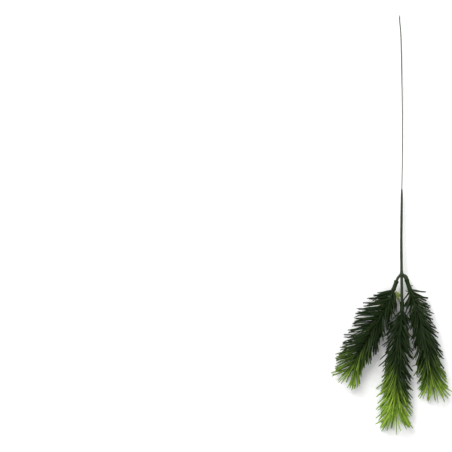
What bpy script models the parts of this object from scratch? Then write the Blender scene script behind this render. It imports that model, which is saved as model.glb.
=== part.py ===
"""An artificial spruce branch that lies on a flat surface.

A lacquered wire runs into a moulded stalk, which carries an arm on each side
of a fork.  The stalk and both arms end in pegs, and a moulded needle sprig is
pushed on each peg.  The branch lies along Y, with its needles towards -Y.
z = 0 is the surface, and the origin is the middle of the branch's footprint.
"""

import math
from typing import NamedTuple

import bmesh
import bpy
from mathutils import Vector

MM = 0.001
GAP = 0.3 * MM                      # between pieces that fit together

# Routes are in millimetres: sideways and lengthways from the fork, then the
# height of the route above the surface.
FORK = Vector((11.0, -50.9, 0.0)) * MM

WIRE_RADIUS = 0.52 * MM
WIRE_ROUTE = (
    (-0.6, 259.4, 0.52),
    (-0.6, 253.5, 0.56),
    (0.1, 245.5, 0.7),
    (0.6, 236.0, 1.0),
    (1.0, 214.0, 2.0),
    (1.4, 180.0, 3.6),
    (1.6, 150.0, 5.0),
    (1.3, 118.0, 6.4),
    (0.6, 84.5, 7.8),
    (0.5, 78.0, 8.05),
)

STALK_ROUTE = (
    (0.6, 84.5, 7.8),
    (0.45, 74.0, 8.2),
    (0.1, 54.0, 9.0),
    (-0.2, 29.0, 9.9),
    (-0.1, 4.0, 10.8),
    (0.0, -14.0, 11.6),
    (0.1, -27.0, 12.0),
)
STALK_TIP_RADIUS = 1.05 * MM        # where the wire goes in
STALK_RADIUS = 1.3 * MM
SWELL_SHARE = 0.25                  # of the stalk, over which it thickens
WIRE_BORE_DEPTH = 7.0 * MM

ARM_RADIUS = 1.35 * MM
LEFT_ARM_ROUTE = (
    (0.0, 0.9, 11.0),
    (-2.3, -1.5, 11.1),
    (-4.1, -4.0, 11.2),
    (-4.9, -6.2, 11.3),
)
RIGHT_ARM_ROUTE = (
    (0.0, 0.9, 11.0),
    (2.5, -0.9, 11.1),
    (4.3, -2.8, 11.2),
    (5.1, -5.0, 11.3),
)

PEG_RADIUS = 0.8 * MM
PEG_LENGTH = 4.5 * MM
SLEEVE_RADIUS = 2.05 * MM           # the sprig's socket, which takes the peg
SLEEVE_LENGTH = 8.5 * MM
CORE_RADIUS = 1.5 * MM              # the sprig's stem beyond its sleeve
CORE_TIP_RADIUS = 0.8 * MM

NEEDLE_ROOT_RADIUS = 0.85 * MM
NEEDLE_TIP_RADIUS = 0.4 * MM
NEEDLE_LENGTH_AT_SLEEVE = 18.0 * MM
NEEDLE_LENGTH = 26.5 * MM
SHORTEST_NEEDLE = 7.0 * MM
SHORTENING = 0.85                   # for a needle that meets its neighbours
FULL_LENGTH_SHARE = 0.33            # of the stem, beyond which needles are long
NEEDLE_POINTS = 3
TIP_HEIGHT = 0.2 * MM               # the least height of a needle's middle line
NEEDLE_BEND = math.radians(9)       # how far a needle turns towards the tip
WHORLS = 11
NEEDLES_IN_WHORL = 6
TUFT_NEEDLES = 7                    # the last needles, which close the tip
TUFT_LEAN = math.radians(18)        # of every other one, and the rest twice it

GOLDEN_ANGLE = math.radians(137.5)
WALL_SHARE = 1.2 * MM               # room kept between two sprigs' needles
EIGHT_SIDES = 2                     # bevel resolutions, as the sides they give
TEN_SIDES = 3
FOUR_SIDES = 0
STEPS_IN_SPAN = 2                   # of a route, between two of its points
SURFACE_DEPTH = 20.0 * MM


class Sprig(NamedTuple):
    """One sprig: the route of its stem and how its needles stand."""

    name: str
    route: tuple        # as the routes above, from the mouth of its sleeve
    leans: tuple        # degrees off the stem at its foot, middle and tip
    skew: float         # degrees more on the +X side, and fewer on the -X side


LEFT_SPRIG = Sprig(
    "sprig_left",
    (
        (-4.9, -6.2, 11.3),
        (-8.4, -15.3, 11.6),
        (-13.8, -28.2, 12.0),
        (-20.6, -41.5, 12.0),
        (-28.6, -56.3, 12.0),
        (-36.6, -69.3, 11.9),
        (-43.0, -79.4, 11.4),
        (-48.6, -91.0, 10.8),
    ),
    (60.0, 42.0, 33.0),
    -8.0,
)
CENTRE_SPRIG = Sprig(
    "sprig_centre",
    (
        (0.1, -27.0, 12.0),
        (0.1, -36.0, 12.0),
        (-1.2, -46.0, 12.0),
        (-3.0, -60.0, 12.0),
        (-3.9, -74.7, 12.0),
        (-4.4, -90.0, 11.9),
        (-5.1, -106.0, 11.5),
        (-6.3, -132.5, 10.6),
    ),
    (50.0, 41.0, 42.0),
    0.0,
)
RIGHT_SPRIG = Sprig(
    "sprig_right",
    (
        (5.1, -5.0, 11.3),
        (8.6, -14.3, 11.6),
        (12.0, -25.5, 12.0),
        (16.2, -38.5, 12.0),
        (19.9, -52.5, 12.0),
        (23.0, -65.8, 12.0),
        (25.6, -78.8, 12.0),
        (28.1, -89.8, 11.6),
        (30.9, -102.0, 10.8),
    ),
    (54.0, 36.0, 37.0),
    2.0,
)


def clear_scene():
    """Removes whatever objects the scene holds."""
    for obj in list(bpy.data.objects):
        bpy.data.objects.remove(obj, do_unlink=True)


def new_collection(name):
    collection = bpy.data.collections.new(name)
    bpy.context.scene.collection.children.link(collection)
    return collection


def make_material(name, colour, roughness):
    material = bpy.data.materials.new(name)
    material.use_nodes = True
    shader = material.node_tree.nodes["Principled BSDF"]
    shader.inputs["Base Color"].default_value = (*colour, 1.0)
    shader.inputs["Roughness"].default_value = roughness
    shader.inputs["Metallic"].default_value = 0.0
    return material


def between(a, b, share):
    return a + (b - a) * share


def on_route(route, span, share):
    """A point on the smooth curve through a route's points."""
    first, last = route[0], route[-1]
    before = route[span - 1] if span else 2 * first - route[1]
    after = route[span + 2] if span + 2 < len(route) else 2 * last - route[-2]
    a, b, c, d = before, route[span], route[span + 1], after
    bend = 2 * a - 5 * b + 4 * c - d
    twist = 3 * b - a - 3 * c + d
    return 0.5 * (2 * b + (c - a) * share + bend * share**2 + twist * share**3)


def smooth_path(points, steps=STEPS_IN_SPAN):
    """The route as a smooth path in metres, with this many steps a span."""
    route = [Vector(point) * MM + FORK for point in points]
    path = []
    for span in range(len(route) - 1):
        path += [on_route(route, span, step / steps) for step in range(steps)]
    return path + [route[-1]]


def distances(path):
    """How far along the path each of its points is."""
    found = [0.0]
    for a, b in zip(path, path[1:]):
        found.append(found[-1] + (b - a).length)
    return found


def point_at(path, distance):
    """The point at a distance along the path, and the path's direction there."""
    along = distances(path)
    i = max(k for k in range(len(path) - 1) if along[k] <= distance or k == 0)
    step = path[i + 1] - path[i]
    share = min(1.0, (distance - along[i]) / step.length)
    return path[i] + step * share, step.normalized()


def curve_mesh(name, paths, radii, resolution):
    """The closed tubes along the paths as one mesh; radii go with the points."""
    curve = bpy.data.curves.new(name, "CURVE")
    curve.dimensions = "3D"
    curve.bevel_depth = 1.0
    curve.bevel_resolution = resolution
    curve.use_fill_caps = True
    for path, thicknesses in zip(paths, radii):
        spline = curve.splines.new("POLY")
        spline.points.add(len(path) - 1)
        for point, place, radius in zip(spline.points, path, thicknesses):
            point.co = (*place, 1.0)
            point.radius = radius
    holder = bpy.data.objects.new(name, curve)
    bpy.context.scene.collection.objects.link(holder)
    graph = bpy.context.evaluated_depsgraph_get()
    mesh = bpy.data.meshes.new_from_object(holder.evaluated_get(graph))
    bpy.data.objects.remove(holder)
    weld(mesh)
    mesh.name = name
    return mesh


def weld(mesh):
    """Joins the tubes' loose caps to their sides."""
    form = bmesh.new()
    form.from_mesh(mesh)
    bmesh.ops.remove_doubles(form, verts=form.verts, dist=0.001 * MM)
    bmesh.ops.recalc_face_normals(form, faces=form.faces)
    form.to_mesh(mesh)
    form.free()


def add_object(name, mesh, collection, material=None):
    obj = bpy.data.objects.new(name, mesh)
    collection.objects.link(obj)
    if material:
        mesh.materials.clear()
        mesh.materials.append(material)
    return obj


def add_cutter(name, mesh, collection):
    cutter = add_object(name, mesh, collection)
    cutter.hide_render = True
    cutter.display_type = "WIRE"
    return cutter


def combine(obj, other, operation):
    modifier = obj.modifiers.new(other.name, "BOOLEAN")
    modifier.operation = operation
    modifier.solver = "EXACT"
    modifier.object = other
    return modifier


def shade(obj):
    obj.data.shade_smooth()
    obj.data.set_sharp_from_angle(angle=math.radians(40))


def bore(path, depth, radius, name, cutters):
    """A cutter for a blind hole into the start of a tube, past its mouth."""
    mouth, direction = point_at(path, 0.0)
    hole = [mouth - direction * depth, mouth + direction * depth]
    mesh = curve_mesh(name, [hole], [[radius, radius]], EIGHT_SIDES)
    return add_cutter(name, mesh, cutters)


def add_peg(obj, path, sprig_path, cutters):
    """A peg on the end of the path, in line with the sprig that goes on it."""
    direction = point_at(sprig_path, 0.0)[1]
    peg = [path[-1] - direction * PEG_LENGTH / 3, path[-1] + direction * PEG_LENGTH]
    name = obj.name + "_peg"
    mesh = curve_mesh(name, [peg], [[PEG_RADIUS, PEG_RADIUS]], EIGHT_SIDES)
    combine(obj, add_cutter(name, mesh, cutters), "UNION")


def shortened(path, amount):
    """The path without the last stretch of this length."""
    along = distances(path)
    end = along[-1] - amount
    return [p for p, d in zip(path, along) if d < end] + [point_at(path, end)[0]]


def build_wire(collection, material):
    path = smooth_path(WIRE_ROUTE, 3)
    mesh = curve_mesh("wire", [path], [[WIRE_RADIUS] * len(path)], EIGHT_SIDES)
    shade(add_object("wire", mesh, collection, material))


def stalk_radii(path):
    """The stalk swells from its tip and then keeps its thickness."""
    along = distances(path)
    shares = [min(1.0, d / along[-1] / SWELL_SHARE) for d in along]
    return [between(STALK_TIP_RADIUS, STALK_RADIUS, s) for s in shares]


def build_stalk(sprig_path, collection, cutters, material):
    path = shortened(smooth_path(STALK_ROUTE), GAP)
    mesh = curve_mesh("stalk", [path], [stalk_radii(path)], TEN_SIDES)
    stalk = add_object("stalk", mesh, collection, material)
    add_peg(stalk, path, sprig_path, cutters)
    hole = bore(path, WIRE_BORE_DEPTH, WIRE_RADIUS + GAP, "wire_bore", cutters)
    combine(stalk, hole, "DIFFERENCE")
    shade(stalk)


def build_arm(name, route, sprig_path, clearance, collection, cutters, material):
    """An arm starts inside the stalk, and the clearance trims it to a saddle."""
    path = shortened(smooth_path(route, 3), GAP)
    mesh = curve_mesh(name, [path], [[ARM_RADIUS] * len(path)], TEN_SIDES)
    arm = add_object(name, mesh, collection, material)
    add_peg(arm, path, sprig_path, cutters)
    combine(arm, clearance, "DIFFERENCE")
    shade(arm)


def stalk_clearance(cutters):
    """The stalk's outside with the gap added, which trims the arms."""
    path = smooth_path(STALK_ROUTE)
    radii = [STALK_RADIUS + GAP] * len(path)
    mesh = curve_mesh("stalk_clearance", [path], [radii], TEN_SIDES)
    return add_cutter("stalk_clearance", mesh, cutters)


def lean_at(sprig, share, azimuth):
    """A needle's angle off the stem at this share of the stem's length."""
    foot, middle, tip = sprig.leans
    if share < 0.5:
        lean = between(foot, middle, share / 0.5)
    else:
        lean = between(middle, tip, (share - 0.5) / 0.5)
    return math.radians(lean + sprig.skew * math.sin(azimuth))


def needle_path(foot, along, lean, azimuth, length):
    """A needle that leaves the stem at its lean and bends towards the tip."""
    up = (Vector((0.0, 0.0, 1.0)) - along * along.z).normalized()
    side = up.cross(along)
    outwards = up * math.cos(azimuth) + side * math.sin(azimuth)
    path = [foot]
    for step in range(NEEDLE_POINTS - 1):
        turned = lean - NEEDLE_BEND * step
        heading = along * math.cos(turned) + outwards * math.sin(turned)
        place = path[-1] + heading * (length / (NEEDLE_POINTS - 1))
        place.z = max(place.z, TIP_HEIGHT)
        path.append(place)
    return path


def distance_to(path, place):
    """The distance from a place to the nearest of a path's stretches."""
    nearest = math.inf
    for a, b in zip(path, path[1:]):
        step = b - a
        share = max(0.0, min(1.0, (place - a).dot(step) / step.length_squared))
        nearest = min(nearest, (a + step * share - place).length)
    return nearest


def has_room(needle, own, others):
    """Whether the needle stays nearer to its own stem than to any other."""
    for place in needle[1:]:
        room = distance_to(own, place) + WALL_SHARE
        if any(distance_to(other, place) < room for other in others):
            return False
    return True


def fitted_needle(foot, along, lean, azimuth, length, own, others):
    """The needle, shortened until it has room, or nothing if it finds none."""
    while length > SHORTEST_NEEDLE:
        needle = needle_path(foot, along, lean, azimuth, length)
        if has_room(needle, own, others):
            return needle
        length *= SHORTENING
    return None


def sprig_needles(sprig, path, others):
    """The needles in whorls along the stem, and the tuft that ends it."""
    length = distances(path)[-1]
    first = SLEEVE_LENGTH
    needles = []
    for whorl in range(WHORLS):
        share = (whorl + 0.5) / WHORLS
        foot, along = point_at(path, between(first, length, share))
        full = min(1.0, share / FULL_LENGTH_SHARE)
        reach = between(NEEDLE_LENGTH_AT_SLEEVE, NEEDLE_LENGTH, full)
        for turn in range(NEEDLES_IN_WHORL):
            azimuth = math.tau * turn / NEEDLES_IN_WHORL + GOLDEN_ANGLE * whorl
            lean = lean_at(sprig, share, azimuth)
            needles.append(
                fitted_needle(foot, along, lean, azimuth, reach, path, others)
            )
    foot, along = point_at(path, length - CORE_TIP_RADIUS)
    for turn in range(TUFT_NEEDLES):
        azimuth = math.tau * turn / TUFT_NEEDLES
        lean = TUFT_LEAN * (1 + turn % 2)
        needles.append(needle_path(foot, along, lean, azimuth, NEEDLE_LENGTH))
    return [needle for needle in needles if needle]


def core_radii(path):
    """The sleeve's radius down to its end, then the stem's, which tapers."""
    along = distances(path)
    radii = []
    for distance in along:
        if distance <= SLEEVE_LENGTH:
            radii.append(SLEEVE_RADIUS)
        else:
            share = (distance - SLEEVE_LENGTH) / (along[-1] - SLEEVE_LENGTH)
            radii.append(between(CORE_RADIUS, CORE_TIP_RADIUS, share))
    return radii


def build_sprig(sprig, others, floor, collection, cutters, material):
    path = smooth_path(sprig.route)
    core = curve_mesh(sprig.name, [path], [core_radii(path)], EIGHT_SIDES)
    body = add_object(sprig.name, core, collection, material)
    needles = sprig_needles(sprig, path, others)
    steps = [step / (NEEDLE_POINTS - 1) for step in range(NEEDLE_POINTS)]
    radii = [between(NEEDLE_ROOT_RADIUS, NEEDLE_TIP_RADIUS, s) for s in steps]
    mesh = curve_mesh("needles", needles, [radii] * len(needles), FOUR_SIDES)
    spikes = add_cutter(sprig.name + "_needles", mesh, cutters)
    combine(body, spikes, "UNION").use_self = True
    depth = PEG_LENGTH + GAP
    radius = PEG_RADIUS + GAP
    socket = bore(path, depth, radius, sprig.name + "_socket", cutters)
    combine(body, socket, "DIFFERENCE")
    combine(body, floor, "DIFFERENCE")
    shade(body)


def floor_cutter(cutters):
    """A block under the surface, which presses the lowest needles flat."""
    form = bmesh.new()
    bmesh.ops.create_cube(form, size=1.0)
    for vertex in form.verts:
        vertex.co.z = (vertex.co.z - 0.5) * SURFACE_DEPTH
    mesh = bpy.data.meshes.new("surface")
    form.to_mesh(mesh)
    form.free()
    return add_cutter("surface", mesh, cutters)


def main():
    clear_scene()
    branch = new_collection("spruce_branch")
    cutters = new_collection("cutters")
    lacquer = make_material("green_lacquer", (0.045, 0.065, 0.035), 0.4)
    stalk_green = make_material("stalk_green", (0.02, 0.045, 0.015), 0.5)
    needle_green = make_material("needle_green", (0.012, 0.03, 0.006), 0.55)
    build_wire(branch, lacquer)
    sprigs = (LEFT_SPRIG, CENTRE_SPRIG, RIGHT_SPRIG)
    left, centre, right = (smooth_path(sprig.route) for sprig in sprigs)
    build_stalk(centre, branch, cutters, stalk_green)
    trim = stalk_clearance(cutters)
    build_arm("arm_left", LEFT_ARM_ROUTE, left, trim, branch, cutters, stalk_green)
    build_arm("arm_right", RIGHT_ARM_ROUTE, right, trim, branch, cutters, stalk_green)
    floor = floor_cutter(cutters)
    stalk = smooth_path(STALK_ROUTE)
    build_sprig(LEFT_SPRIG, [centre, right, stalk], floor, branch, cutters, needle_green)
    build_sprig(CENTRE_SPRIG, [left, right], floor, branch, cutters, needle_green)
    build_sprig(RIGHT_SPRIG, [left, centre, stalk], floor, branch, cutters, needle_green)


main()
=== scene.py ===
"""The looks of an artificial spruce branch that lies on a pale surface.

A lacquered wire runs into a moulded stalk with a fork, and three moulded
needle sprigs sit on the stalk and its two arms.  Everything is in metres, in
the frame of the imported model: the branch lies along Y, its needles are
towards -Y, and z = 0 is the surface.
"""

import logging
import math
from collections.abc import Callable, Sequence
from dataclasses import dataclass, field
from enum import Enum
from functools import cached_property, partial
from itertools import product

import bmesh
import bpy
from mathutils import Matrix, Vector


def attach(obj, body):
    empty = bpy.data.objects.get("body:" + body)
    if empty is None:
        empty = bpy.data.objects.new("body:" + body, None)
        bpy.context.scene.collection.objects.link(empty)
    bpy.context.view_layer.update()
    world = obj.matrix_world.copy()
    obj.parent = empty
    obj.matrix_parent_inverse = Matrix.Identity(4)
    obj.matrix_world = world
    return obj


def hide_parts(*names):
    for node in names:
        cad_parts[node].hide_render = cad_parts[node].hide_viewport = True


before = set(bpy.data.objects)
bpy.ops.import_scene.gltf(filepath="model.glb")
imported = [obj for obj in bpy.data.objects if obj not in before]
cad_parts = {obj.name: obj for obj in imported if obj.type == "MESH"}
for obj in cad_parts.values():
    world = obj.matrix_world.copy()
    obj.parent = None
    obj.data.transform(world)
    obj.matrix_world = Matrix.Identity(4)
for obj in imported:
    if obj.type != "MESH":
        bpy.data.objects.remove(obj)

LOG = logging.getLogger("spruce_branch")
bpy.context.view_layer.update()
BODY = "root"
MM = 0.001
FORK = Vector((11.0, -50.9, 0.0)) * MM

GRAIN_DISTANCE = 0.1 * MM
GOLDEN_ANGLE = math.radians(137.5)

Route = Sequence[tuple[float, float, float]]
Socket = bpy.types.NodeSocket
Value = bpy.types.NodeSocket | float | int | tuple[float, ...]


class Slot(Enum):
    """The branch's material slots."""

    WIRE = "lacquered_wire"
    STALK = "stalk_plastic"
    NEEDLES = "needle_plastic"


class Domain(Enum):
    """The kinds of value that a point of a mesh keeps."""

    NUMBER = "FLOAT"
    VECTOR = "FLOAT_VECTOR"


# --------------------------------------------------------------------- paths


def smooth_path(route: Route, steps: int = 12) -> list[Vector]:
    """A smooth curve through a route's points.

    Args:
        route: points in millimetres from the fork, with heights.
        steps: how many points each stretch of the route gets.

    Returns:
        The curve's points in metres, in the frame.
    """
    points = [Vector(point) * MM + FORK for point in route]
    points = [2 * points[0] - points[1], *points, 2 * points[-1] - points[-2]]
    path = []
    for a, b, c, d in zip(points, points[1:], points[2:], points[3:]):
        bend = 2 * a - 5 * b + 4 * c - d
        twist = 3 * b - a - 3 * c + d
        for step in range(steps):
            t = step / steps
            path.append(0.5 * (2 * b + (c - a) * t + bend * t**2 + twist * t**3))
    return [*path, points[-2]]


def path_lengths(path: Sequence[Vector]) -> list[float]:
    """How far along the path each of its points is, in metres."""
    lengths = [0.0]
    for a, b in zip(path, path[1:]):
        lengths.append(lengths[-1] + (b - a).length)
    return lengths


def place_on(path: Sequence[Vector], lengths: Sequence[float], at: float) -> Vector:
    """The point at a distance along the path.

    Args:
        path: the path's points.
        lengths: how far along each of them is.
        at: the distance asked for, in metres.

    Returns:
        The point there, or beyond an end in line with it.
    """
    last = len(path) - 2
    i = next((k for k in range(last) if lengths[k + 1] > at), last)
    share = (at - lengths[i]) / (lengths[i + 1] - lengths[i])
    return path[i] + (path[i + 1] - path[i]) * share


def eased(low: float, high: float, value: float) -> float:
    """A share that rises smoothly from 0 at low to 1 at high."""
    t = max(0.0, min(1.0, (value - low) / (high - low)))
    return t * t * (3 - 2 * t)


def hump(centre: float, width: float, value: float) -> float:
    """A smooth bump of height 1 about a centre."""
    return math.exp(-(((value - centre) / width) ** 2))


def mesh_of(form: bmesh.types.BMesh, name: str) -> bpy.types.Mesh:
    """The form as a smooth-shaded mesh under a name; the form is freed."""
    mesh = bpy.data.meshes.new(name)
    form.to_mesh(mesh)
    form.free()
    mesh.shade_smooth()
    return mesh


@dataclass
class Sweep:
    """A closed tube along a path, whose radius is worked out at each place.

    Its points keep how far along the tube they are and their angle around it.
    """

    path: list[Vector]
    radius: Callable[[float, float], float]
    sides: int = 16
    ring_step: float = 0.5 * MM

    def rings(self) -> list[tuple[float, Vector, Vector, Vector]]:
        """Each ring's distance along, its centre, and its up and side."""
        lengths = path_lengths(self.path)
        count = max(2, round(lengths[-1] / self.ring_step))
        rings = []
        for ring in range(count + 1):
            at = lengths[-1] * ring / count
            centre = place_on(self.path, lengths, at)
            ahead = place_on(self.path, lengths, at + self.ring_step)
            behind = place_on(self.path, lengths, at - self.ring_step)
            along = (ahead - behind).normalized()
            up = (Vector((0, 0, 1)) - along * along.z).normalized()
            rings.append((at, centre, up, up.cross(along)))
        return rings

    def mesh(self, name: str) -> bpy.types.Mesh:
        """The tube as a mesh with flat ends.

        Args:
            name: the new mesh's name.

        Returns:
            The mesh, with point attributes run and turn.
        """
        form = bmesh.new()
        run = form.verts.layers.float.new("run")
        turn = form.verts.layers.float.new("turn")
        loops = []
        for at, centre, up, side in self.rings():
            loop = []
            for k in range(self.sides):
                angle = math.tau * k / self.sides
                outwards = up * math.cos(angle) + side * math.sin(angle)
                vertex = form.verts.new(centre + outwards * self.radius(at, angle))
                vertex[run] = at
                vertex[turn] = angle
                loop.append(vertex)
            loops.append(loop)
        for low, high in zip(loops, loops[1:]):
            for k in range(self.sides):
                after = (k + 1) % self.sides
                form.faces.new((low[k], low[after], high[after], high[k]))
        form.faces.new(list(reversed(loops[0])))
        form.faces.new(loops[-1])
        bmesh.ops.recalc_face_normals(form, faces=form.faces)
        return mesh_of(form, name)


# --------------------------------------------------------------- node writing


class NodeWriter:
    """Adds nodes to one tree and links them, in formula order."""

    def __init__(self, tree: bpy.types.NodeTree) -> None:
        """Writes into the given tree."""
        self.tree = tree

    def add(self, kind: str, inputs: dict | None = None, **settings) -> bpy.types.Node:
        """A new node.

        Args:
            kind: the node's type name.
            inputs: socket names or numbers, with a value or a socket for each.
            settings: the node's own properties.

        Returns:
            The node.
        """
        node = self.tree.nodes.new(kind)
        for name, value in settings.items():
            setattr(node, name, value)
        for key, value in (inputs or {}).items():
            self.feed(self.socket(node, key), value)
        return node

    @staticmethod
    def socket(node: bpy.types.Node, key: str | int) -> Socket:
        """A node's input in use that has this name, or this number."""
        if isinstance(key, int):
            return node.inputs[key]
        return next(s for s in node.inputs if s.name == key and s.enabled)

    def feed(self, socket: Socket, value: Value) -> None:
        """Links a socket to the input, or sets it to a plain value."""
        if isinstance(value, bpy.types.NodeSocket):
            self.tree.links.new(value, socket)
        else:
            socket.default_value = value

    def math(self, operation: str, *values: Value, clamp: bool = False) -> Socket:
        """One Math node on the values."""
        node = self.add("ShaderNodeMath", operation=operation, use_clamp=clamp)
        for socket, value in zip(node.inputs, values):
            self.feed(socket, value)
        return node.outputs[0]

    def vector(self, operation: str, *values: Value) -> Socket:
        """One Vector Math node on the values; DOT_PRODUCT gives a number."""
        node = self.add("ShaderNodeVectorMath", operation=operation)
        for socket, value in zip(node.inputs, values):
            self.feed(socket, value)
        return node.outputs["Value" if operation == "DOT_PRODUCT" else "Vector"]

    def scaled(self, vector: Value, factor: Value) -> Socket:
        """The vector times a number."""
        node = self.add("ShaderNodeVectorMath", operation="SCALE")
        self.feed(node.inputs["Vector"], vector)
        self.feed(node.inputs["Scale"], factor)
        return node.outputs["Vector"]

    def plus(self, a: Value, b: Value) -> Socket:
        """The sum of two values."""
        return self.math("ADD", a, b)

    def minus(self, a: Value, b: Value) -> Socket:
        """The first value less the second."""
        return self.math("SUBTRACT", a, b)

    def times(self, a: Value, b: Value) -> Socket:
        """The product of two values."""
        return self.math("MULTIPLY", a, b)

    def parts(self, vector: Value) -> bpy.types.NodeOutputs:
        """The vector's X, Y and Z."""
        return self.add("ShaderNodeSeparateXYZ", {0: vector}).outputs

    def joined(self, x: Value, y: Value, z: Value) -> Socket:
        """The vector with these three parts."""
        return self.add("ShaderNodeCombineXYZ", {0: x, 1: y, 2: z}).outputs[0]

    def noise(self, scale: Value, detail: float) -> Socket:
        """Noise from 0 to 1 over the object's own space."""
        place = self.add("ShaderNodeTexCoord").outputs["Object"]
        inputs = {"Vector": place, "Scale": scale, "Detail": detail}
        return self.add("ShaderNodeTexNoise", inputs).outputs[0]

    def point_value(self, name: str) -> Socket:
        """The number that a material reads from the mesh's points."""
        return self.add("ShaderNodeAttribute", attribute_name=name).outputs["Fac"]

    def ranged(self, value: Value, source: tuple, target: tuple) -> Socket:
        """The value moved from one range to another, held at its ends."""
        inputs = {0: value, 1: source[0], 2: source[1], 3: target[0], 4: target[1]}
        return self.add("ShaderNodeMapRange", inputs, clamp=True).outputs[0]

    def ladder(self, value: Value, steps: Sequence[Value]) -> Socket:
        """A line through evenly spaced steps, read at a value from 0 to 1.

        Args:
            value: where along the steps to read.
            steps: the line's height at each step.

        Returns:
            The line's height there.
        """
        spans = len(steps) - 1
        total = steps[0]
        for i, (low, high) in enumerate(zip(steps, steps[1:])):
            part = self.ranged(value, (i / spans, (i + 1) / spans), (0.0, 1.0))
            total = self.plus(total, self.times(part, self.minus(high, low)))
        return total

    def turned(self, along: Socket, across: Socket, angle: Value) -> Socket:
        """The direction that leans from along towards across by an angle."""
        ahead = self.scaled(along, self.math("COSINE", angle))
        aside = self.scaled(across, self.math("SINE", angle))
        return self.vector("ADD", ahead, aside)

    def keep(self, geometry: Socket, name: str, value: Value, domain: Domain) -> Socket:
        """The geometry with a value kept on its points under a name."""
        return self.add(
            "GeometryNodeStoreNamedAttribute",
            {"Geometry": geometry, "Name": name, "Value": value},
            data_type=domain.value,
            domain="POINT",
        ).outputs["Geometry"]

    def number(self, name: str) -> Socket:
        """The number that the points keep under a name."""
        return self.kept(name, Domain.NUMBER)

    def kept(self, name: str, domain: Domain) -> Socket:
        """The value that the points keep under a name."""
        node = self.add("GeometryNodeInputNamedAttribute", data_type=domain.value)
        node.inputs["Name"].default_value = name
        return next(s for s in node.outputs if s.enabled)


class Draw(Enum):
    """The random draws of a sprig's needles, as steps from its seed."""

    PLACE = 0
    TURN = 1
    LEAN = 2
    TUFT = 3
    LENGTH = 4
    BEND = 5
    CURL = 6
    ROLL = 7
    TONE = 8
    WAVE = 9
    FAN_PLACE = 20
    FAN_LEAN = 21


@dataclass
class Dice:
    """Random numbers for a tree's points, all from one seed."""

    write: NodeWriter
    seed: Socket

    def between(
        self, draw: Draw, low: Value, high: Value, of: Value | None = None
    ) -> Socket:
        """A number for each point, or for each value of a field.

        Args:
            draw: which draw it is.
            low: the least it can be.
            high: the most it can be.
            of: the field whose equal values draw alike, if any.

        Returns:
            The number.
        """
        inputs = {"Min": low, "Max": high, "Seed": self.write.plus(self.seed, draw.value)}
        if of is not None:
            inputs["ID"] = of
        node = self.write.add("FunctionNodeRandomValue", inputs, data_type="FLOAT")
        return next(s for s in node.outputs if s.enabled)

    def about(self, draw: Draw, most: float, of: Value | None = None) -> Socket:
        """A number as often below 0 as above it, and at most this far off."""
        return self.between(draw, -most, most, of)


# ------------------------------------------------------------------ materials


def new_group(name: str, inputs: dict, outputs: dict) -> bpy.types.ShaderNodeTree:
    """An empty shader group with typed sockets.

    Args:
        name: the group's name.
        inputs: names with socket types and default values.
        outputs: names with socket types.

    Returns:
        The group's tree, with its two end nodes in place.
    """
    group = bpy.data.node_groups.new(name, "ShaderNodeTree")
    for key, (kind, value) in inputs.items():
        socket = group.interface.new_socket(key, in_out="INPUT", socket_type=kind)
        socket.default_value = value
    for key, kind in outputs.items():
        group.interface.new_socket(key, in_out="OUTPUT", socket_type=kind)
    group.nodes.new("NodeGroupInput")
    group.nodes.new("NodeGroupOutput")
    return group


def moulded_skin_group() -> bpy.types.ShaderNodeTree:
    """The skin of moulded plastic: a fine grain that also breaks up its gloss.

    Returns:
        A group that puts out a roughness and a normal.
    """
    number = "NodeSocketFloat"
    inputs = {
        "Grain Size": (number, 900.0),
        "Depth": (number, 0.3),
        "Roughness": (number, 0.5),
        "Roughness Spread": (number, 0.15),
    }
    outputs = {"Roughness": number, "Normal": "NodeSocketVector"}
    group = new_group("moulded_skin", inputs, outputs)
    write = NodeWriter(group)
    given = group.nodes["Group Input"].outputs
    result = group.nodes["Group Output"].inputs
    grain = write.noise(given["Grain Size"], 3.0)
    patches = write.noise(write.times(given["Grain Size"], 0.2), 2.0)
    swing = write.times(write.minus(patches, 0.5), given["Roughness Spread"])
    write.feed(result["Roughness"], write.plus(given["Roughness"], swing))
    bump = write.add(
        "ShaderNodeBump",
        {"Strength": given["Depth"], "Distance": GRAIN_DISTANCE, "Height": grain},
    )
    write.feed(result["Normal"], bump.outputs["Normal"])
    return group


def tone_drift_group() -> bpy.types.ShaderNodeTree:
    """A colour that drifts lighter and darker in patches over a surface.

    Returns:
        A group that puts out the drifting colour.
    """
    inputs = {
        "Colour": ("NodeSocketColor", (0.1, 0.1, 0.1, 1.0)),
        "Patch Size": ("NodeSocketFloat", 200.0),
        "Amount": ("NodeSocketFloat", 0.3),
    }
    group = new_group("tone_drift", inputs, {"Colour": "NodeSocketColor"})
    write = NodeWriter(group)
    given = group.nodes["Group Input"].outputs
    swing = write.times(write.minus(write.noise(given["Patch Size"], 4.0), 0.5), given["Amount"])
    level = write.plus(1.0, write.times(swing, 2.0))
    tinted = write.add("ShaderNodeHueSaturation", {"Value": level, "Color": given["Colour"]})
    write.feed(group.nodes["Group Output"].inputs["Colour"], tinted.outputs["Color"])
    return group


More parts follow.
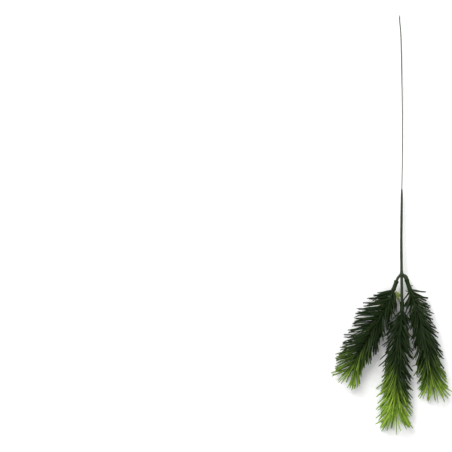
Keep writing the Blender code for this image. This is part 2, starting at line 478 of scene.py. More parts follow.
@dataclass(frozen=True)
class Finish:
    """What every finish of the branch shares: its skin, gloss and patches."""

    skin: bpy.types.NodeTree
    drift: bpy.types.NodeTree
    name: str
    roughness: float
    specular: float
    grain_size: float
    grain_depth: float
    patch_size: float
    patch_amount: float
    roughness_spread: float = 0.2

    def start(self) -> tuple[bpy.types.Material, NodeWriter]:
        """A material with its skin wired in and its colour left to do.

        Returns:
            The material and the writer of its nodes.
        """
        material = bpy.data.materials.new(self.name)
        material.use_nodes = True
        write = NodeWriter(material.node_tree)
        shader = material.node_tree.nodes["Principled BSDF"]
        shader.inputs["Specular IOR Level"].default_value = self.specular
        inputs = {
            "Grain Size": self.grain_size,
            "Depth": self.grain_depth,
            "Roughness": self.roughness,
            "Roughness Spread": self.roughness_spread,
        }
        node = write.add("ShaderNodeGroup", inputs, node_tree=self.skin)
        write.feed(shader.inputs["Roughness"], node.outputs["Roughness"])
        write.feed(shader.inputs["Normal"], node.outputs["Normal"])
        return material, write

    def drifting(self, write: NodeWriter, colour: Value) -> Socket:
        """The colour with the finish's own lighter and darker patches."""
        inputs = {"Colour": colour, "Patch Size": self.patch_size, "Amount": self.patch_amount}
        return write.add("ShaderNodeGroup", inputs, node_tree=self.drift).outputs["Colour"]

    @staticmethod
    def mixed(write: NodeWriter, share: Value, under: Value, over: Value) -> Socket:
        """The under colour with a share of the over colour on it."""
        inputs = {0: share, 6: under, 7: over}
        return write.add("ShaderNodeMix", inputs, data_type="RGBA").outputs[2]

    @staticmethod
    def colour_to(write: NodeWriter, colour: Socket) -> None:
        """Links the finished colour to the shader."""
        shader = write.tree.nodes["Principled BSDF"]
        write.feed(shader.inputs["Base Color"], colour)


@dataclass(frozen=True)
class NeedlePlastic(Finish):
    """Light green plastic under dark green paint that thins towards the tips."""

    paint: tuple[float, float, float] = (0.0096, 0.0222, 0.0028)
    thin_paint: tuple[float, float, float] = (0.055, 0.1, 0.011)
    bare: tuple[float, float, float] = (0.193, 0.318, 0.031)
    missed: tuple[float, float, float] = (0.25, 0.29, 0.09)
    thin_at: float = 0.45
    levels: tuple[float, float] = (0.75, 1.22)
    hues: tuple[float, float] = (0.515, 0.488)

    def build(self) -> bpy.types.Material:
        """The needles' material, which reads their point attributes."""
        material, write = self.start()
        ramp = write.add("ShaderNodeValToRGB", {"Fac": write.point_value("fresh")})
        elements = ramp.color_ramp.elements
        elements[0].color = (*self.paint, 1.0)
        elements[1].color = (*self.bare, 1.0)
        elements.new(self.thin_at).color = (*self.thin_paint, 1.0)
        pale = (*self.missed, 1.0)
        missed = write.point_value("missed")
        patched = self.mixed(write, missed, ramp.outputs["Color"], pale)
        tone = write.point_value("tone")
        inputs = {
            "Hue": write.ranged(tone, (0.0, 1.0), self.hues),
            "Value": write.ranged(tone, (0.0, 1.0), self.levels),
            "Color": self.drifting(write, patched),
        }
        final = write.add("ShaderNodeHueSaturation", inputs)
        self.colour_to(write, final.outputs["Color"])
        return material


@dataclass(frozen=True)
class StalkPlastic(Finish):
    """Dark green moulded plastic with paler rubbed places."""

    colour: tuple[float, float, float] = (0.0175, 0.0305, 0.0103)

    def build(self) -> bpy.types.Material:
        """The stalk's material."""
        material, write = self.start()
        self.colour_to(write, self.drifting(write, (*self.colour, 1.0)))
        return material


@dataclass(frozen=True)
class WireLacquer(Finish):
    """Thin grey-green lacquer on steel, worn to metal at the cut end."""

    colour: tuple[float, float, float] = (0.041, 0.055, 0.033)
    steel: tuple[float, float, float] = (0.45, 0.45, 0.44)
    worn_length: float = 2.2 * MM
    worn_share: float = 0.85
    chip_size: float = 1500.0

    def build(self) -> bpy.types.Material:
        """The wire's material, which reads how far along it a point is."""
        material, write = self.start()
        chips = write.noise(self.chip_size, 2.0)
        reach = write.times(chips, 2 * self.worn_length)
        bare = write.math("LESS_THAN", write.point_value("run"), reach)
        worn = write.times(bare, self.worn_share)
        lacquer = self.drifting(write, (*self.colour, 1.0))
        self.colour_to(write, self.mixed(write, worn, lacquer, (*self.steel, 1.0)))
        shader = material.node_tree.nodes["Principled BSDF"]
        write.feed(shader.inputs["Metallic"], worn)
        return material


# --------------------------------------------------------------------- pieces


def show(name: str, mesh: bpy.types.Mesh, material: bpy.types.Material) -> bpy.types.Object:
    """A new object of the mesh at the origin, in one material."""
    mesh.materials.clear()
    mesh.materials.append(material)
    piece = bpy.data.objects.new(name, mesh)
    bpy.context.scene.collection.objects.link(piece)
    return piece


def settle(piece: bpy.types.Object, slot: Slot, *nodes: str) -> None:
    """Gives a finished piece its body, hides the nodes it stands for, and logs them."""
    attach(piece, BODY)
    if nodes:
        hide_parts(*nodes)
    stands_for = ", ".join(nodes) or "no node"
    LOG.info("%s: %d faces, for %s", piece.name, len(piece.data.polygons), stands_for)


def frozen(piece: bpy.types.Object) -> bpy.types.Mesh:
    """The piece's mesh with its modifiers' work done, and the piece removed."""
    graph = bpy.context.evaluated_depsgraph_get()
    mesh = bpy.data.meshes.new_from_object(piece.evaluated_get(graph))
    bpy.data.objects.remove(piece)
    return mesh


@dataclass
class WireStem:
    """The drawn steel wire in its lacquer, with a pinched end."""

    route: Route = (
        (-0.6, 259.4, 0.52), (-0.6, 253.5, 0.56), (0.1, 245.5, 0.7),
        (0.6, 236.0, 1.0), (1.0, 214.0, 2.0), (1.4, 180.0, 3.6),
        (1.6, 150.0, 5.0), (1.3, 118.0, 6.4), (0.6, 84.5, 7.8),
        (0.5, 78.0, 8.05),
    )
    radius: float = 0.52 * MM
    pinch_length: float = 0.9 * MM

    def radius_at(self, at: float, angle: float) -> float:
        """The wire's radius, which the cutters squeezed to a blunt wedge."""
        closed = 1 - eased(0.0, self.pinch_length, at)
        squeeze = 1 - 0.72 * closed * abs(math.cos(angle + 0.5))
        lumps = 1 + 0.03 * math.sin(at / (1.7 * MM)) * math.sin(at / (4.1 * MM) + angle)
        return self.radius * squeeze * lumps

    def build(self, lacquer: bpy.types.Material) -> None:
        """Makes the wire and places it on its node."""
        path = smooth_path(self.route)
        sweep = Sweep(path, self.radius_at, sides=12, ring_step=0.4 * MM)
        settle(show("wire_stem", sweep.mesh("wire_stem"), lacquer), Slot.WIRE, "wire")


@dataclass
class ForkedStalk:
    """The moulded stalk, its fork and its two arms, in one moulding."""

    route: Route = (
        (0.6, 84.5, 7.8), (0.45, 74.0, 8.2), (0.1, 54.0, 9.0),
        (-0.2, 29.0, 9.9), (-0.1, 4.0, 10.8), (0.0, -14.0, 11.6),
        (0.1, -27.0, 12.0),
    )
    left_arm: Route = (
        (0.0, 0.9, 11.0), (-2.3, -1.5, 11.1), (-4.1, -4.0, 11.2),
        (-4.9, -6.2, 11.3),
    )
    right_arm: Route = (
        (0.0, 0.9, 11.0), (2.2, -0.9, 11.1), (4.0, -2.8, 11.2),
        (4.8, -5.0, 11.3),
    )
    tip_radius: float = 0.78 * MM
    radius: float = 1.3 * MM
    arm_radius: float = 1.25 * MM
    right_arm_radius: float = 2.0 * MM
    boss_at: float = 83.5 * MM
    boss_height: float = 0.35 * MM
    seam_height: float = 0.14 * MM
    left_seam_height: float = 0.12 * MM
    seam_width: float = 0.16
    voxel: float = 0.17 * MM

    def stalk_radius(self, at: float, angle: float) -> float:
        """The stalk's radius: a tapered tip, swellings and a boss at the fork."""
        grown = self.tip_radius + (self.radius - self.tip_radius) * (
            0.55 * eased(0.0, 10 * MM, at) + 0.45 * min(1.0, at / (70 * MM))
        )
        swell = 0.05 * MM * math.sin(at / (6.3 * MM)) * math.sin(at / (2.9 * MM) + 1)
        boss = self.boss_height * hump(self.boss_at, 2.2 * MM, at)
        seam = self.seam_height * hump(0.0, self.seam_width, math.cos(angle))
        return grown + swell + boss + seam

    def left_arm_radius_at(self, at: float, angle: float) -> float:
        """The left arm's radius, even up to the sprig's collar."""
        seam = self.left_seam_height * hump(0.0, self.seam_width, math.cos(angle))
        return self.arm_radius + seam

    def right_arm_radius_at(self, at: float, angle: float) -> float:
        """The right arm's radius, which swells towards the sprig's collar."""
        grown = eased(1.5 * MM, 5.0 * MM, at)
        seam = self.seam_height * hump(0.0, self.seam_width, math.cos(angle))
        return self.arm_radius + (self.right_arm_radius - self.arm_radius) * grown + seam

    def build(self, plastic: bpy.types.Material) -> None:
        """Makes the moulding, with its three branches melted together."""
        routes = (self.route, self.left_arm, self.right_arm)
        radii = (self.stalk_radius, self.left_arm_radius_at, self.right_arm_radius_at)
        form = bmesh.new()
        for route, radius in zip(routes, radii):
            sweep = Sweep(smooth_path(route), radius, sides=24, ring_step=0.25 * MM)
            form.from_mesh(sweep.mesh("branch"))
        raw = show("raw_stalk", mesh_of(form, "stalk_and_arms"), plastic)
        remesh = raw.modifiers.new("melt", "REMESH")
        remesh.mode = "VOXEL"
        remesh.voxel_size = self.voxel
        smooth = raw.modifiers.new("fillet", "SMOOTH")
        smooth.factor = 0.5
        smooth.iterations = 5
        mesh = frozen(raw)
        mesh.shade_smooth()
        piece = show("stalk_and_arms", mesh, plastic)
        settle(piece, Slot.STALK, "stalk", "arm_left", "arm_right")


@dataclass
class NeedleField:
    """The rule by which needles stand along a sprig's stem, as a node tree."""

    width: float = 0.6 * MM
    thickness: float = 0.44 * MM
    sides: int = 6
    clearance: float = 0.55 * MM
    clearance_blend: float = 1.2 * MM
    ground: float = 0.03 * MM
    droop: float = 3.5 * MM
    place_jitter: float = 0.22
    fan_jitter: float = 0.3
    turn_jitter: float = 0.2
    fan_lean_jitter: float = 0.05
    crowding: float = 1.05
    tuft_from: float = 0.985
    tuft_tightness: tuple[float, float] = (0.15, 1.15)
    length_spread: tuple[float, float] = (0.86, 1.04)
    curl: float = 0.08
    roll: tuple[float, float] = (0.95, 2.2)
    wave: float = 0.9 * MM
    paint_raggedness: float = 0.12
    missed_below: float = -0.55
    missed_share: float = 0.3
    write: NodeWriter = field(init=False)
    given: bpy.types.NodeOutputs = field(init=False)
    dice: Dice = field(init=False)

    RINGS = (0.0, 0.07, 0.2, 0.37, 0.55, 0.74, 0.9, 0.975, 1.0)
    WIDTHS = (2.2, 2.0, 1.75, 1.55, 1.35, 1.15, 0.98, 0.78, 0.42)
    THICKNESSES = (1.3, 1.1, 1.0, 1.0, 0.98, 0.94, 0.82, 0.62, 0.3)
    KNOTS = (1, 2, 3, 4, 5)
    INPUTS = {
        "NodeSocketInt": ("Fans", "Needles in Fan", "Seed"),
        "NodeSocketFloat": (
            "Fan Spread", "First Share", "Stem Length", "Lean Spread", "Flatness", "Bend",
            "Bend Spread", "Paint End", "Paint Skew", "Paint Softness", "Paint Reach",
        ),
        "NodeSocketMaterial": ("Plastic",),
    }

    def tree(self) -> bpy.types.GeometryNodeTree:
        """Builds the node tree.

        Returns:
            A tree that turns a stem's line into its needles.
        """
        tree = bpy.data.node_groups.new("needle_field", "GeometryNodeTree")
        geometry = "NodeSocketGeometry"
        tree.interface.new_socket("Stem", in_out="INPUT", socket_type=geometry)
        for kind, names in self.INPUTS.items():
            for name in names:
                tree.interface.new_socket(name, in_out="INPUT", socket_type=kind)
        for flank, what, knot in product(("Left", "Right"), ("Lean", "Length"), self.KNOTS):
            name = f"{flank} {what} {knot}"
            tree.interface.new_socket(name, in_out="INPUT", socket_type="NodeSocketFloat")
        tree.interface.new_socket("Needles", in_out="OUTPUT", socket_type=geometry)
        self.write = write = NodeWriter(tree)
        self.given = write.add("NodeGroupInput").outputs
        self.dice = Dice(write, self.given["Seed"])
        inputs = {"Points": self.feet(), "Instance": self.blank()}
        needles = write.add("GeometryNodeInstanceOnPoints", inputs).outputs[0]
        mesh = write.add("GeometryNodeRealizeInstances", {"Geometry": needles}).outputs[0]
        mesh = self.bent(mesh)
        mesh = write.add("GeometryNodeSetShadeSmooth", {"Geometry": mesh}).outputs[0]
        inputs = {"Geometry": mesh, "Material": self.given["Plastic"]}
        dressed = write.add("GeometryNodeSetMaterial", inputs)
        result = write.add("NodeGroupOutput")
        write.feed(result.inputs[0], dressed.outputs[0])
        return tree

    def feet(self) -> Socket:
        """One point for each needle, which keeps where and how it grows.

        Returns:
            The points.
        """
        write, given, dice = self.write, self.given, self.dice
        in_fan = given["Needles in Fan"]
        count = write.times(given["Fans"], in_fan)
        points = write.add("GeometryNodePoints", {"Count": count}).outputs[0]
        index = write.add("GeometryNodeInputIndex").outputs[0]
        fan = write.math("FLOOR", write.math("DIVIDE", index, in_fan))
        jitter = dice.about(Draw.PLACE, self.place_jitter)
        jitter = write.plus(jitter, dice.about(Draw.FAN_PLACE, self.fan_jitter, fan))
        share = write.math("DIVIDE", write.plus(fan, jitter), given["Fans"])
        share = write.math("MULTIPLY", share, self.crowding, clamp=True)
        member = write.math("FLOORED_MODULO", index, in_fan)
        offset = write.minus(member, write.times(write.minus(in_fan, 1), 0.5))
        azimuth = write.times(fan, GOLDEN_ANGLE)
        azimuth = write.plus(azimuth, write.times(offset, given["Fan Spread"]))
        azimuth = write.plus(azimuth, dice.about(Draw.TURN, self.turn_jitter))
        twice = write.math("SINE", write.times(azimuth, 2.0))
        azimuth = write.plus(azimuth, write.times(twice, given["Flatness"]))
        flank = write.math("SINE", azimuth)
        rightness = write.ranged(flank, (-0.8, 0.8), (0.0, 1.0))
        lean = self.by_flank("Lean", share, rightness)
        length = self.by_flank("Length", share, rightness)
        bends = (
            write.minus(given["Bend"], given["Bend Spread"]),
            write.plus(given["Bend"], given["Bend Spread"]),
        )
        numbers = {
            "share": share,
            "flank": flank,
            "crown": write.math("COSINE", azimuth),
            "lean": self.spread_lean(lean, share, fan),
            "reach": write.times(length, dice.between(Draw.LENGTH, *self.length_spread)),
            "bend": dice.between(Draw.BEND, *bends),
            "curl": dice.about(Draw.CURL, self.curl),
            "roll": dice.between(Draw.ROLL, *self.roll),
            "wave": dice.about(Draw.WAVE, self.wave),
            "tone": dice.between(Draw.TONE, 0.0, 1.0),
        }
        for name, value in numbers.items():
            points = write.keep(points, name, value, Domain.NUMBER)
        return self.on_stem(points, share, azimuth)

    def spread_lean(self, lean: Value, share: Value, fan: Value) -> Socket:
        """The leans with their spread, and drawn together or apart in the tuft.

        Args:
            lean: the even lean off the stem.
            share: how far along the stem.
            fan: the number of the needle's fan.

        Returns:
            The lean of each needle.
        """
        write, dice = self.write, self.dice
        spread = self.given["Lean Spread"]
        lean = write.plus(lean, dice.between(Draw.LEAN, write.times(spread, -1.0), spread))
        lean = write.plus(lean, dice.about(Draw.FAN_LEAN, self.fan_lean_jitter, fan))
        tuft = write.math("GREATER_THAN", share, self.tuft_from)
        change = write.minus(dice.between(Draw.TUFT, *self.tuft_tightness), 1.0)
        return write.times(lean, write.plus(1.0, write.times(tuft, change)))

    def on_stem(self, points: Socket, share: Value, azimuth: Value) -> Socket:
        """The points with their foot on the stem and their directions kept.

        Args:
            points: one point for each needle.
            share: how far along the stem.
            azimuth: the angle round the stem, from the top.

        Returns:
            The points.
        """
        write, given = self.write, self.given
        first = given["First Share"]
        rest = write.times(share, write.minus(1.0, first))
        stem = write.add("GeometryNodeMeshToCurve", {"Mesh": given["Stem"]}).outputs[0]
        inputs = {"Curves": stem, "Factor": write.plus(first, rest)}
        sample = write.add("GeometryNodeSampleCurve", inputs, mode="FACTOR").outputs
        along = write.vector("NORMALIZE", sample["Tangent"])
        up = write.vector("CROSS_PRODUCT", along, (0.0, 0.0, 1.0))
        up = write.vector("NORMALIZE", write.vector("CROSS_PRODUCT", up, along))
        side = write.vector("CROSS_PRODUCT", up, along)
        outwards = write.turned(up, side, azimuth)
        vectors = {"foot": sample["Position"], "along": along, "outwards": outwards}
        for name, value in vectors.items():
            points = write.keep(points, name, value, Domain.VECTOR)
        return points

    def by_flank(self, what: str, share: Value, rightness: Value) -> Socket:
        """A measure that changes along the stem and from its left to its right.

        Args:
            what: the measure's name among the inputs.
            share: how far along the stem.
            rightness: 0 on the stem's left and 1 on its right.

        Returns:
            The measure there.
        """
        write, given = self.write, self.given
        left = write.ladder(share, [given[f"Left {what} {knot}"] for knot in self.KNOTS])
        right = write.ladder(share, [given[f"Right {what} {knot}"] for knot in self.KNOTS])
        return write.plus(left, write.times(rightness, write.minus(right, left)))

    def blank(self) -> Socket:
        """A straight needle of length 1, with its width and thickness tapered.

        Returns:
            The blank, whose points' heights are how far up the needle they are.
        """
        write = self.write
        inputs = {
            "Vertices": self.sides,
            "Side Segments": len(self.RINGS) - 1,
            "Radius": 1.0,
            "Depth": 1.0,
        }
        rod = write.add("GeometryNodeMeshCylinder", inputs, fill_type="NGON")
        split = write.parts(write.add("GeometryNodeInputPosition").outputs[0])
        ring = write.plus(split["Z"], 0.5)
        width = write.times(write.ladder(ring, self.WIDTHS), self.width)
        thickness = write.times(write.ladder(ring, self.THICKNESSES), self.thickness)
        shaped = write.joined(
            write.times(split["X"], width),
            write.times(split["Y"], thickness),
            write.ladder(ring, self.RINGS),
        )
        inputs = {"Geometry": rod.outputs["Mesh"], "Position": shaped}
        return write.add("GeometryNodeSetPosition", inputs).outputs[0]

    def bent(self, mesh: Socket) -> Socket:
        """The needles bent to their leans, and kept above the surface.

        Args:
            mesh: all the straight needles, on top of each other.

        Returns:
            The needles in place, with their paint kept as a point value.
        """
        write = self.write
        split = write.parts(write.add("GeometryNodeInputPosition").outputs[0])
        height = split["Z"]
        along = write.kept("along", Domain.VECTOR)
        outwards = write.kept("outwards", Domain.VECTOR)
        across = write.vector("CROSS_PRODUCT", along, outwards)
        lean = write.number("lean")
        turn = write.times(write.number("bend"), height)
        chord = write.turned(along, outwards, write.minus(lean, write.times(turn, 0.5)))
        run = write.times(write.number("reach"), height)
        foot = write.kept("foot", Domain.VECTOR)
        centre = write.vector("ADD", foot, write.scaled(chord, run))
        curl = write.times(write.times(write.number("curl"), height), run)
        centre = write.vector("ADD", centre, write.scaled(across, curl))
        centre = self.sagging(centre, height)
        face = write.turned(outwards, write.scaled(along, -1.0), write.minus(lean, turn))
        swing = write.times(write.math("SINE", write.times(height, math.tau)), height)
        swing = write.times(swing, write.number("wave"))
        centre = write.vector("ADD", centre, write.scaled(face, swing))
        roll = write.number("roll")
        wide = write.turned(across, face, roll)
        thin = write.turned(face, write.scaled(across, -1.0), roll)
        place = write.vector("ADD", centre, write.scaled(wide, split["X"]))
        place = write.vector("ADD", place, write.scaled(thin, split["Y"]))
        parts = write.parts(place)
        grounded = write.math("MAXIMUM", parts["Z"], self.ground)
        place = write.joined(parts["X"], parts["Y"], grounded)
        inputs = {"Geometry": self.painted(mesh, run), "Position": place}
        return write.add("GeometryNodeSetPosition", inputs).outputs[0]

    def sagging(self, centre: Socket, height: Socket) -> Socket:
        """The needles' middle lines with the side ones sagging to the surface.

        Args:
            centre: the middle lines.
            height: how far up the needle a point is.

        Returns:
            The middle lines, eased off the surface.
        """
        write = self.write
        parts = write.parts(centre)
        sag = write.times(write.math("ABSOLUTE", write.number("flank")), self.droop)
        sag = write.times(sag, write.times(height, height))
        sunk = write.minus(parts["Z"], sag)
        lifted = write.math("SMOOTH_MAX", sunk, self.clearance, self.clearance_blend)
        return write.joined(parts["X"], parts["Y"], lifted)

    def painted(self, mesh: Socket, run: Socket) -> Socket:
        """The needles with where the paint thins, and what it missed, kept.

        Args:
            mesh: the needles.
            run: the distance from the needle's foot.

        Returns:
            The needles, with point values fresh and missed.
        """
        write, given = self.write, self.given
        tone = write.number("tone")
        advance = write.times(run, write.math("COSINE", write.number("lean")))
        advance = write.math("DIVIDE", advance, given["Stem Length"])
        advance = write.times(advance, given["Paint Reach"])
        front = write.plus(write.number("share"), advance)
        skew = write.times(write.number("flank"), given["Paint Skew"])
        ragged = write.times(write.minus(tone, 0.5), self.paint_raggedness)
        passed = write.minus(front, write.plus(given["Paint End"], skew))
        passed = write.plus(passed, ragged)
        fresh = write.math("DIVIDE", passed, given["Paint Softness"], clamp=True)
        mesh = write.keep(mesh, "fresh", fresh, Domain.NUMBER)
        under = write.math("LESS_THAN", write.number("crown"), self.missed_below)
        early = write.math("LESS_THAN", write.number("share"), self.missed_share)
        some = write.math("LESS_THAN", tone, self.missed_share)
        missed = write.times(write.times(under, early), some)
        return write.keep(mesh, "missed", missed, Domain.NUMBER)


@dataclass(frozen=True)
class Flank:
    """The needles' leans and lengths on one side of a stem, from foot to tip.

    Leans are in degrees off the stem and lengths in millimetres, each at five
    evenly spaced places.
    """

    leans: tuple[float, float, float, float, float]
    lengths: tuple[float, float, float, float, float]


@dataclass
class NeedleSprig:
    """A sprig: a stem with a socket sleeve, and its needles."""

    name: str
    node: str
    route: Route
    fans: int
    left: Flank
    right: Flank
    paint_end: float
    paint_skew: float
    paint_softness: float
    seed: int
    paint_reach: float = 1.0
    bare_foot: float = 8.5 * MM
    slot: bool = False
    needles_in_fan: int = 6
    fan_spread: float = 21.0
    flatness: float = 0.34
    lean_spread: float = 5.0
    bend: float = 4.0
    bend_spread: float = 16.0
    sleeve_radius: float = 2.1 * MM
    stem_radius: float = 1.35 * MM
    tip_radius: float = 0.7 * MM
    stem_freshness: float = 0.4
    stem_tone: float = 0.45

    @cached_property
    def path(self) -> list[Vector]:
        """The stem's middle line."""
        return smooth_path(self.route)

    @cached_property
    def needled_length(self) -> float:
        """The length of the stem that carries needles, in metres."""
        return path_lengths(self.path)[-1] - self.bare_foot

    def stem_radius_at(self, at: float, angle: float) -> float:
        """The stem's radius, from the sleeve's rim to the stem's tip."""
        beyond = max(0.0, at - self.bare_foot) / self.needled_length
        stem = self.stem_radius + (self.tip_radius - self.stem_radius) * beyond
        sleeve = self.sleeve_radius - self.stem_radius
        sleeve *= 1 - eased(self.bare_foot - 0.5 * MM, self.bare_foot + 2.5 * MM, at)
        collar = 0.3 * MM * (1 - eased(1.5 * MM, 2.1 * MM, at))
        band = 0.25 * MM * hump(self.bare_foot - 1.2 * MM, 0.9 * MM, at)
        cut = 0.9 * MM * hump(-0.75, 0.28, angle - math.tau) * (1 - eased(6 * MM, 8 * MM, at))
        return stem + sleeve + collar + band - (cut if self.slot else 0.0)

    def settings(self, plastic: bpy.types.Material) -> dict:
        """The node tree's inputs by name.

        Args:
            plastic: the needles' material.

        Returns:
            A value for each input.
        """
        flanks = {}
        for name, flank in (("Left", self.left), ("Right", self.right)):
            for knot, lean, reach in zip(NeedleField.KNOTS, flank.leans, flank.lengths):
                flanks[f"{name} Lean {knot}"] = math.radians(lean)
                flanks[f"{name} Length {knot}"] = reach * MM
        return {
            **flanks,
            "Fans": self.fans,
            "Needles in Fan": self.needles_in_fan,
            "Fan Spread": math.radians(self.fan_spread),
            "First Share": self.bare_foot / (self.needled_length + self.bare_foot),
            "Stem Length": self.needled_length,
            "Lean Spread": math.radians(self.lean_spread),
            "Flatness": self.flatness,
            "Bend": math.radians(self.bend),
            "Bend Spread": math.radians(self.bend_spread),
            "Paint End": self.paint_end,
            "Paint Skew": self.paint_skew,
            "Paint Softness": self.paint_softness,
            "Paint Reach": self.paint_reach,
            "Seed": self.seed,
            "Plastic": plastic,
        }

    def needles(
        self, tree: bpy.types.GeometryNodeTree, plastic: bpy.types.Material
    ) -> bpy.types.Mesh:
        """The sprig's needles as a plain mesh.

        Args:
            tree: the needle field.
            plastic: the needles' material.

        Returns:
            The mesh, with only the point values that the material reads.
        """
        line = bpy.data.meshes.new("stem_line")
        line.from_pydata(self.path, [(i, i + 1) for i in range(len(self.path) - 1)], [])
        holder = bpy.data.objects.new("needle_holder", line)
        bpy.context.scene.collection.objects.link(holder)
        modifier = holder.modifiers.new("needles", "NODES")
        modifier.node_group = tree
        settings = self.settings(plastic)
        for item in tree.interface.items_tree:
            if item.in_out == "INPUT" and item.name in settings:
                modifier[item.identifier] = settings[item.name]
        mesh = frozen(holder)
        kept = ("position", "fresh", "tone", "missed")
        for name in [a.name for a in mesh.attributes if a.domain == "POINT"]:
            if name not in kept:
                mesh.attributes.remove(mesh.attributes[name])
        return mesh

    def paint_stem(self, stem: bpy.types.Mesh) -> None:
        """Keeps on the stem's points how far the dark paint reaches along it."""
        run = stem.attributes["run"].data
        length = max(point.value for point in run)
        fresh = stem.attributes.new("fresh", "FLOAT", "POINT").data
        tone = stem.attributes.new("tone", "FLOAT", "POINT").data
        for at, paint, shade in zip(run, fresh, tone):
            share = at.value / length
            thinned = eased(self.paint_end - 0.05, self.paint_end + 0.25, share)
            paint.value = self.stem_freshness * thinned
            shade.value = self.stem_tone

    def build(self, tree: bpy.types.GeometryNodeTree, plastic: bpy.types.Material) -> None:
        """Makes the sprig in the needles' plastic and places it on its node."""
        sweep = Sweep(self.path, self.stem_radius_at, sides=14, ring_step=0.4 * MM)
        stem = sweep.mesh("stem")
        self.paint_stem(stem)
        form = bmesh.new()
        form.from_mesh(stem)
        form.from_mesh(self.needles(tree, plastic))
        piece = show(self.name, mesh_of(form, self.name), plastic)
        settle(piece, Slot.NEEDLES, self.node)


@dataclass(frozen=True)
class Stray:
    """A single needle outside a sprig's order, by three points along it.

    Points are in millimetres from the fork, with heights.
    """

    route: Route
    width: float
    fresh: float
    missed: float

    def radius_at(self, length: float, at: float, angle: float) -> float:
        """The flattened, tapered radius at a length along a needle.

        Args:
            length: the needle's full length, in metres.
            at: the length along it, in metres.
            angle: the angle round it, in radians.

        Returns:
            The radius there, in metres.
        """
        taper = 1 - 0.45 * eased(0.5, 1.0, at / length)
        blunt = 1 - 0.6 * eased(0.95, 1.0, at / length)
        flat = 1 - 0.45 * abs(math.cos(angle))
        return self.width * MM * taper * blunt * flat


STRAYS = (
    Stray(((-6.2, -17.9, 10.2), (-3.2, -19.9, 8.8), (0.4, -22.0, 7.4)), 1.75, 0.3, 1.0),
    Stray(((-5.6, -20.2, 9.6), (-3.2, -23.4, 8.0), (-1.2, -27.2, 6.2)), 1.35, 0.3, 0.9),
    Stray(((-11.9, -36.5, 9.4), (-11.6, -42.0, 8.6), (-12.4, -47.5, 7.6)), 0.9, 0.2, 0.75),
    Stray(((18.3, -82.0, 9.0), (14.6, -89.4, 8.4), (10.0, -91.4, 8.0)), 0.5, 0.0, 0.0),
    Stray(((8.6, -15.5, 11.8), (5.6, -16.6, 12.0), (3.3, -16.0, 12.2)), 0.55, 0.1, 0.0),
    Stray(((8.4, -11.4, 11.6), (10.2, -11.0, 12.0), (11.2, -11.6, 12.3)), 0.45, 0.1, 0.0),
)


@dataclass
class StrayNeedles:
    """Needles and stubs that stand apart, some of them missed by the paint."""

    strays: Sequence[Stray] = STRAYS

    def build(self, plastic: bpy.types.Material) -> None:
        """Makes the stray needles, which stand for no node of their own."""
        form = bmesh.new()
        for stray in self.strays:
            path = smooth_path(stray.route)
            length = path_lengths(path)[-1]
            radius = partial(stray.radius_at, length)
            mesh = Sweep(path, radius, sides=8, ring_step=0.5 * MM).mesh("stray")
            for name, value in (("fresh", stray.fresh), ("tone", 0.5), ("missed", stray.missed)):
                values = mesh.attributes.new(name, "FLOAT", "POINT").data
                for point in values:
                    point.value = value
            form.from_mesh(mesh)
        piece = show("stray_needles", mesh_of(form, "stray_needles"), plastic)
        settle(piece, Slot.NEEDLES)


SPRIGS = (
    NeedleSprig(
        name="left_sprig",
        node="sprig_left",
        route=(
            (-4.9, -6.2, 11.3), (-8.4, -15.3, 11.6), (-13.8, -28.2, 12.0),
            (-20.6, -41.5, 12.0), (-28.6, -56.3, 12.0), (-36.6, -69.3, 11.9),
            (-42.6, -79.8, 11.4), (-46.6, -92.0, 10.8),
        ),
        fans=46,
        left=Flank((60.0, 63.0, 50.0, 44.0, 51.0), (20.0, 28.0, 28.5, 27.5, 24.5)),
        right=Flank((46.0, 38.0, 35.0, 32.0, 19.0), (16.0, 21.0, 25.0, 25.5, 23.0)),
        paint_end=0.79,
        paint_skew=-0.03,
        paint_softness=0.42,
        seed=11,
        bare_foot=10.3 * MM,
    ),
    NeedleSprig(
        name="centre_sprig",
        node="sprig_centre",
        route=(
            (0.1, -27.0, 12.0), (0.1, -36.0, 12.0), (-1.2, -46.0, 12.0),
            (-3.0, -60.0, 12.0), (-3.9, -74.7, 12.0), (-4.4, -90.0, 11.9),
            (-5.1, -106.0, 11.5), (-6.3, -132.5, 10.6),
        ),
        fans=50,
        left=Flank((44.0, 33.0, 36.0, 39.0, 38.0), (16.0, 25.0, 27.0, 27.0, 27.0)),
        right=Flank((46.0, 40.0, 34.0, 35.0, 42.0), (16.0, 25.0, 27.0, 27.0, 28.0)),
        paint_end=0.57,
        paint_skew=0.1,
        paint_softness=0.35,
        paint_reach=0.7,
        seed=23,
    ),
    NeedleSprig(
        name="right_sprig",
        node="sprig_right",
        route=(
            (4.8, -5.0, 11.3), (7.8, -14.3, 11.6), (11.6, -25.5, 12.0),
            (16.2, -38.5, 12.0), (19.9, -52.5, 12.0), (23.0, -65.8, 12.0),
            (25.6, -78.8, 12.0), (28.1, -89.8, 11.6), (30.2, -101.5, 10.8),
        ),
        fans=47,
        left=Flank((44.0, 30.0, 30.0, 35.0, 38.0), (16.0, 23.0, 27.0, 27.0, 25.0)),
        right=Flank((57.0, 43.0, 33.0, 32.0, 32.0), (16.5, 20.5, 27.5, 27.5, 28.5)),
        paint_end=0.84,
        paint_skew=0.0,
        paint_softness=0.45,
        paint_reach=1.4,
        seed=37,
        bare_foot=10.6 * MM,
        slot=True,
    ),
)


# --------------------------------------------------------------------- studio


@dataclass(frozen=True)
class Softbox:
    """A square area light that looks at a target."""

    name: str
    place: tuple[float, float, float]
    size: float
    power: float

    def build(self, target: Vector) -> None:
        """Adds the light to the scene, turned to the target."""
        light = bpy.data.lights.new(self.name, "AREA")
        light.shape = "SQUARE"
        light.size = self.size
        light.energy = self.power
        lamp = bpy.data.objects.new(self.name, light)
        lamp.location = self.place
        lamp.rotation_euler = (target - lamp.location).to_track_quat("-Z", "Y").to_euler()
        bpy.context.scene.collection.objects.link(lamp)


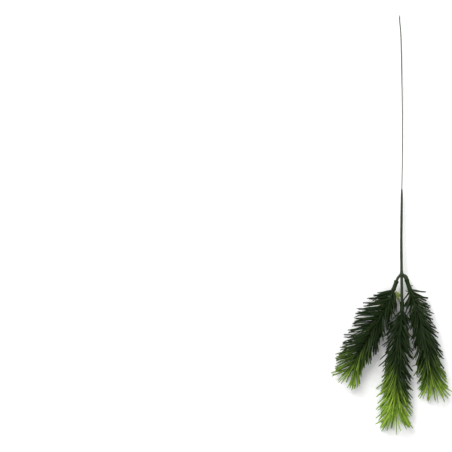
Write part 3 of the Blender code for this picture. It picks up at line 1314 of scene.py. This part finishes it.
@dataclass
class Studio:
    """The pale floor, the soft light and the camera that looks down."""

    camera_place: tuple[float, float, float] = (-0.16316, -0.00282, 1.2556)
    lens: float = 100.0
    sensor: float = 36.0
    floor_size: float = 6.0
    floor_colour: tuple[float, float, float] = (0.9, 0.9, 0.9)
    ambient: float = 0.75
    key: Softbox = Softbox("key_light", (-1.0, 1.55, 1.9), 1.3, 70.0)

    def build(self) -> None:
        """Adds the camera, the floor and the lights."""
        lens = bpy.data.cameras.new("camera")
        lens.lens = self.lens
        lens.sensor_width = self.sensor
        lens.clip_start = 0.01
        camera = bpy.data.objects.new("camera", lens)
        camera.location = self.camera_place
        bpy.context.scene.collection.objects.link(camera)
        bpy.context.scene.camera = camera
        self.build_floor()
        self.key.build(Vector((0.0, -0.1, 0.0)))
        world = bpy.data.worlds.new("studio")
        world.use_nodes = True
        background = world.node_tree.nodes["Background"]
        background.inputs["Color"].default_value = (1.0, 1.0, 1.0, 1.0)
        background.inputs["Strength"].default_value = self.ambient
        bpy.context.scene.world = world
        bpy.context.scene.view_settings.view_transform = "Standard"

    def build_floor(self) -> None:
        """Adds the pale floor."""
        form = bmesh.new()
        bmesh.ops.create_grid(form, x_segments=1, y_segments=1, size=self.floor_size / 2)
        material = bpy.data.materials.new("pale_paper")
        material.use_nodes = True
        shader = material.node_tree.nodes["Principled BSDF"]
        shader.inputs["Base Color"].default_value = (*self.floor_colour, 1.0)
        shader.inputs["Roughness"].default_value = 0.9
        shader.inputs["Specular IOR Level"].default_value = 0.1
        show("floor", mesh_of(form, "floor"), material)


def main() -> None:
    """Builds the branch's pieces and the studio."""
    logging.basicConfig(level=logging.INFO, format="%(message)s")
    skin = moulded_skin_group()
    drift = tone_drift_group()
    lacquer = WireLacquer(
        skin,
        drift,
        name="green_lacquer",
        roughness=0.38,
        specular=0.4,
        grain_size=700.0,
        grain_depth=0.2,
        patch_size=150.0,
        patch_amount=0.35,
    ).build()
    stalk_plastic = StalkPlastic(
        skin,
        drift,
        name="stalk_plastic",
        roughness=0.5,
        specular=0.22,
        grain_size=900.0,
        grain_depth=0.3,
        patch_size=320.0,
        patch_amount=0.6,
    ).build()
    needle_plastic = NeedlePlastic(
        skin,
        drift,
        name="needle_plastic",
        roughness=0.5,
        specular=0.16,
        grain_size=1200.0,
        grain_depth=0.25,
        patch_size=260.0,
        patch_amount=0.5,
    ).build()
    WireStem().build(lacquer)
    ForkedStalk().build(stalk_plastic)
    tree = NeedleField().tree()
    for sprig in SPRIGS:
        sprig.build(tree, needle_plastic)
    StrayNeedles().build(needle_plastic)
    Studio().build()


if __name__ == "__main__":
    main()
